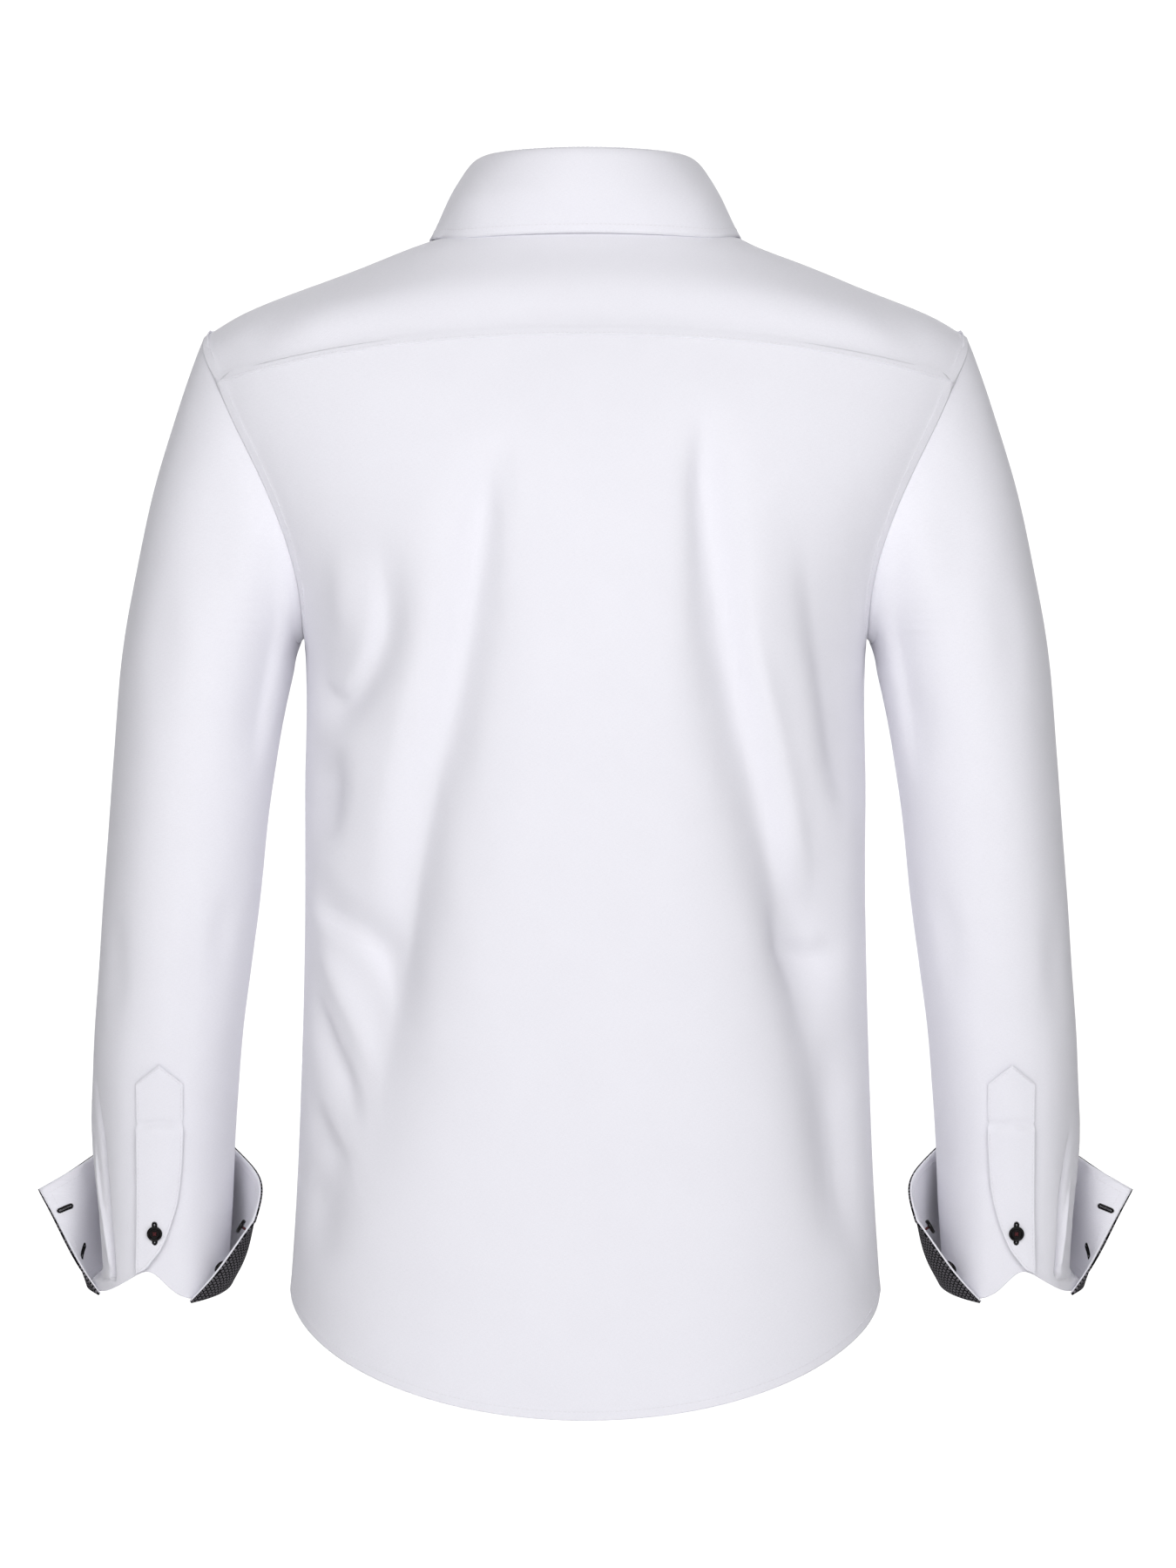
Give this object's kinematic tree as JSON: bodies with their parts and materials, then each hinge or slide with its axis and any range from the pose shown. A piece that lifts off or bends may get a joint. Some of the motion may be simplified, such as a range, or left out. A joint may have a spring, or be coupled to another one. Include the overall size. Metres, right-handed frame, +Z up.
{
  "type": "button-up shirt",
  "caption": "Long-sleeved button-up shirt, filled out as if worn, with a turned-down collar and its cuffs unbuttoned and turned up.",
  "frame": {"origin": "between the wearer's shoulders at the nape, where the shoulders hold the shirt up", "axes": "+Z up, along the back; the front faces -Y and the back +Y; +X is the wearer's left"},
  "size_m": [0.6886, 0.2665, 0.7681],
  "materials": {
    "white_cloth": "plain white cotton poplin",
    "printed_facing": "dark cotton with a small regular print",
    "black_buttons": "black, four holes"
  },
  "bodies": {
    "root": {"back_panel": "white_cloth", "yoke": "white_cloth", "front_left": "white_cloth", "front_right": "white_cloth", "front_placket": "white_cloth", "collar_stand": "white_cloth", "collar_leaf": "white_cloth", "sleeve_left": "white_cloth", "sleeve_right": "white_cloth", "sleeve_placket_left": "white_cloth", "sleeve_placket_right": "white_cloth", "cuff_left": "white_cloth", "cuff_right": "white_cloth", "cuff_facing_left": "printed_facing", "cuff_facing_right": "printed_facing", "button_collar": "black_buttons", "button_front_1": "black_buttons", "button_front_2": "black_buttons", "button_front_3": "black_buttons", "button_front_4": "black_buttons", "button_front_5": "black_buttons", "button_front_6": "black_buttons", "button_gauntlet_left": "black_buttons", "button_gauntlet_right": "black_buttons", "button_cuff_left_1": "black_buttons", "button_cuff_left_2": "black_buttons", "button_cuff_right_1": "black_buttons", "button_cuff_right_2": "black_buttons"}
  },
  "joints": []
}
